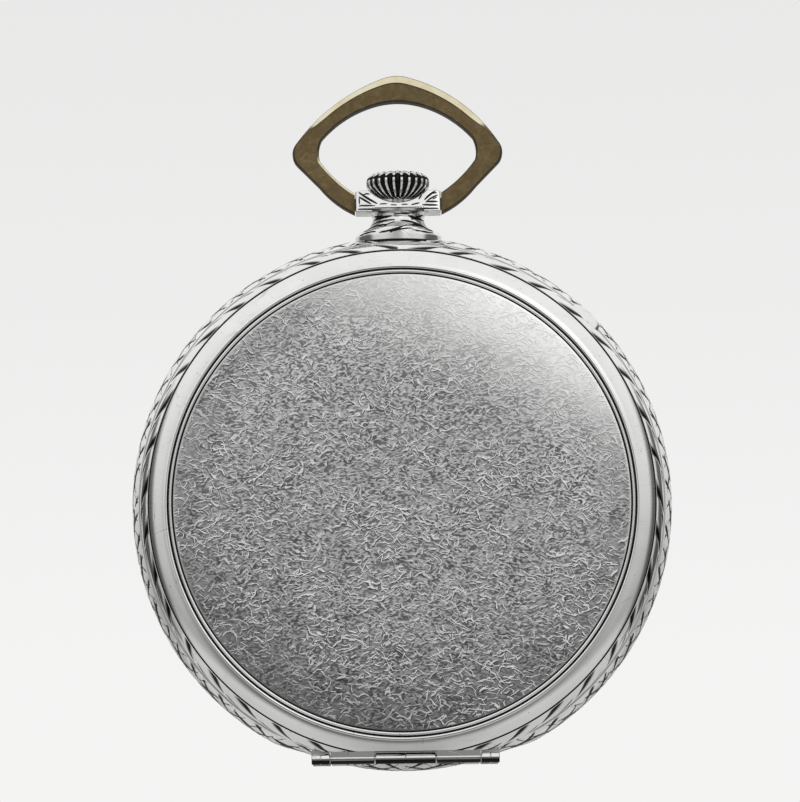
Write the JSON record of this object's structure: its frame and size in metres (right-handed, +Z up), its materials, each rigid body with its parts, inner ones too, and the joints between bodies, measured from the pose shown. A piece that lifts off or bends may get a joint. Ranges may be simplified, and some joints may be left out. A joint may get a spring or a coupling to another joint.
{
  "type": "open face pocket watch",
  "caption": "Keyless open face pocket watch with hinged back, dust cover and bezel, swinging bow, fluted crown and a geared lever movement.",
  "frame": {"origin": "middle of the flat on the back cover, the face the watch lies on", "axes": "+Z up to the bow, +Y from the back cover to the crystal, +X to the right as the back is looked at; X is 3 o'clock side of the back view"},
  "size_m": [0.05, 0.0116, 0.0651],
  "materials": {
    "case_silver": "polished and engraved silver, worn",
    "crown_silver": "polished silver with dark in the flutes",
    "bow_brass": "aged brass with bright worn bevels",
    "inner_silver": "polished silver, lightly scratched",
    "glass": "clear mineral glass",
    "enamel": "white enamel with plain black numerals",
    "gilt_plate": "frosted gilding",
    "train_brass": "gilt wheels",
    "steel": "polished steel",
    "blued_steel": "heat blued steel",
    "ruby": "polished ruby",
    "copper": "copper feet"
  },
  "bodies": {
    "case": {"case_band": "case_silver", "pendant": "case_silver", "pendant_sleeve": "steel", "case_hinge_pins": "steel", "cuvette_hinge_pin": "steel", "mainplate": "gilt_plate", "barrel_bridge": "gilt_plate", "train_bridge": "gilt_plate", "balance_cock": "gilt_plate", "pallet_cock": "gilt_plate", "jewels": "ruby", "hairspring_stud": "steel", "movement_screws": "blued_steel", "case_screws": "blued_steel", "crown_wheel_screw": "steel", "click_screw": "blued_steel", "click_spring": "steel", "yoke_spring": "steel", "keyless_bridge": "gilt_plate", "dial": "enamel", "dial_feet": "copper", "seconds_dial": "enamel"},
    "bow": {"bow": "bow_brass"},
    "back_cover": {"back_cover": "case_silver"},
    "cuvette": {"cuvette": "inner_silver"},
    "bezel": {"bezel": "case_silver", "crystal": "glass"},
    "winding_pinion": {"winding_pinion": "steel"},
    "stem": {"winding_stem": "steel", "crown": "crown_silver"},
    "clutch": {"clutch": "steel"},
    "crown_wheel": {"crown_wheel": "steel"},
    "ratchet": {"ratchet_wheel": "steel", "barrel_arbor": "steel", "ratchet_screw": "steel"},
    "barrel": {"barrel": "train_brass", "barrel_cover": "train_brass", "mainspring": "blued_steel"},
    "centre_wheel": {"centre_wheel": "train_brass"},
    "third_wheel": {"third_wheel": "train_brass"},
    "fourth_wheel": {"fourth_wheel": "train_brass", "seconds_hand": "blued_steel"},
    "escape_wheel": {"escape_wheel": "steel"},
    "pallet_fork": {"pallet_fork": "steel", "pallet_stones": "ruby"},
    "balance": {"balance_wheel": "train_brass", "balance_screws": "train_brass", "roller": "steel", "hairspring": "blued_steel"},
    "click": {"click": "steel"},
    "setting_lever": {"setting_lever": "steel"},
    "yoke": {"yoke": "steel"},
    "regulator": {"regulator": "steel"},
    "cannon_pinion": {"cannon_pinion": "steel", "minute_hand": "blued_steel"},
    "minute_wheel": {"minute_wheel": "train_brass"},
    "hour_wheel": {"hour_wheel": "train_brass", "hour_hand": "blued_steel"},
    "setting_wheel_one": {"setting_wheel_one": "steel"},
    "setting_wheel_two": {"setting_wheel_two": "steel"}
  },
  "joints": [
    {"name": "bow_swing", "type": "hinge", "parent": "case", "child": "bow", "pos_m": [0, 0.0054, 0.0281], "axis": [1, 0, 0], "range_deg": [-105, 105]},
    {"name": "back_cover_hinge", "type": "hinge", "parent": "case", "child": "back_cover", "pos_m": [0, 0.00175, -0.02345], "axis": [1, 0, 0], "range_deg": [0, 95]},
    {"name": "cuvette_hinge", "type": "hinge", "parent": "case", "child": "cuvette", "pos_m": [0, 0.00205, -0.02175], "axis": [1, 0, 0], "range_deg": [0, 72]},
    {"name": "bezel_hinge", "type": "hinge", "parent": "case", "child": "bezel", "pos_m": [0, 0.00915, -0.02345], "axis": [-1, 0, 0], "range_deg": [0, 95]},
    {"name": "crown_turn", "type": "hinge", "parent": "case", "child": "winding_pinion", "pos_m": [0, 0.0054, 0.0168], "axis": [0, 0, 1], "continuous": true},
    {"name": "crown_pull", "type": "slide", "parent": "winding_pinion", "child": "stem", "axis": [0, 0, 1], "range_m": [0, 0.0008]},
    {"name": "clutch_slide", "type": "slide", "parent": "winding_pinion", "child": "clutch", "axis": [0, 0, -1], "range_m": [0, 0.00065]},
    {"name": "crown_wheel_turn", "type": "hinge", "parent": "case", "child": "crown_wheel", "pos_m": [0, 0.00271, 0.01272], "axis": [0, 1, 0], "continuous": true},
    {"name": "ratchet_turn", "type": "hinge", "parent": "case", "child": "ratchet", "pos_m": [0.00702, 0.00271, 0.00632], "axis": [0, 1, 0], "continuous": true},
    {"name": "setting_lever_turn", "type": "hinge", "parent": "case", "child": "setting_lever", "pos_m": [0.0036, 0.0076, 0.0181], "axis": [0, 1, 0], "range_deg": [0, 14]},
    {"name": "yoke_turn", "type": "hinge", "parent": "case", "child": "yoke", "pos_m": [-0.0046, 0.00755, 0.0155], "axis": [0, 1, 0], "range_deg": [0, 10]},
    {"name": "click_turn", "type": "hinge", "parent": "case", "child": "click", "pos_m": [0.01502, 0.00271, 0.00692], "axis": [0, 1, 0], "range_deg": [0, 12]},
    {"name": "seconds_turn", "type": "hinge", "parent": "case", "child": "fourth_wheel", "pos_m": [0, 0.0054, -0.0094], "axis": [0, -1, 0], "continuous": true},
    {"name": "third_turn", "type": "hinge", "parent": "case", "child": "third_wheel", "pos_m": [0.00296, 0.0045, -0.00606], "axis": [0, -1, 0], "continuous": true},
    {"name": "centre_turn", "type": "hinge", "parent": "case", "child": "centre_wheel", "pos_m": [0, 0.0062, 0], "axis": [0, -1, 0], "continuous": true},
    {"name": "barrel_turn", "type": "hinge", "parent": "case", "child": "barrel", "pos_m": [0.00702, 0.0045, 0.00632], "axis": [0, -1, 0], "continuous": true},
    {"name": "escape_turn", "type": "hinge", "parent": "case", "child": "escape_wheel", "pos_m": [-0.00413, 0.00585, -0.0109], "axis": [0, -1, 0], "continuous": true},
    {"name": "pallet_swing", "type": "hinge", "parent": "case", "child": "pallet_fork", "pos_m": [-0.00641, 0.0058, -0.00799], "axis": [0, -1, 0], "range_deg": [-5.5, 5.5]},
    {"name": "balance_swing", "type": "hinge", "parent": "case", "child": "balance", "pos_m": [-0.00931, 0.0045, -0.00428], "axis": [0, -1, 0], "range_deg": [-270, 270]},
    {"name": "regulator_swing", "type": "hinge", "parent": "case", "child": "regulator", "pos_m": [-0.00931, 0.00215, -0.00428], "axis": [0, -1, 0], "range_deg": [-18, 18]},
    {"name": "minute_hand_turn", "type": "hinge", "parent": "case", "child": "cannon_pinion", "pos_m": [0, 0.0072, 0], "axis": [0, -1, 0], "continuous": true},
    {"name": "minute_wheel_turn", "type": "hinge", "parent": "case", "child": "minute_wheel", "pos_m": [-0.00071, 0.0072, 0.00402], "axis": [0, -1, 0], "continuous": true},
    {"name": "hour_hand_turn", "type": "hinge", "parent": "case", "child": "hour_wheel", "pos_m": [0, 0.0076, 0], "axis": [0, -1, 0], "continuous": true},
    {"name": "setting_one_turn", "type": "hinge", "parent": "case", "child": "setting_wheel_one", "pos_m": [0, 0.0072, 0.0116], "axis": [0, -1, 0], "continuous": true},
    {"name": "setting_two_turn", "type": "hinge", "parent": "case", "child": "setting_wheel_two", "pos_m": [-0.00334, 0.0072, 0.00858], "axis": [0, -1, 0], "continuous": true}
  ],
  "couplings": [
    {"joint": "cuvette_hinge", "follows": "back_cover_hinge", "ratio": 0.75},
    {"joint": "crown_wheel_turn", "follows": "crown_turn", "ratio": 0.66667},
    {"joint": "ratchet_turn", "follows": "crown_turn", "ratio": -0.43478},
    {"joint": "clutch_slide", "follows": "crown_pull", "ratio": 0.8125},
    {"joint": "setting_lever_turn", "follows": "crown_pull", "rad_per_m": 280.12},
    {"joint": "yoke_turn", "follows": "crown_pull", "rad_per_m": 177.22},
    {"joint": "third_turn", "follows": "seconds_turn", "ratio": -0.13333},
    {"joint": "centre_turn", "follows": "seconds_turn", "ratio": 0.016667},
    {"joint": "barrel_turn", "follows": "seconds_turn", "ratio": -0.0020833},
    {"joint": "escape_turn", "follows": "seconds_turn", "ratio": -10},
    {"joint": "minute_wheel_turn", "follows": "minute_hand_turn", "ratio": -0.33333},
    {"joint": "hour_hand_turn", "follows": "minute_hand_turn", "ratio": 0.083333},
    {"joint": "setting_two_turn", "follows": "minute_hand_turn", "ratio": 0.46154},
    {"joint": "setting_one_turn", "follows": "minute_hand_turn", "ratio": -0.44444}
  ]
}
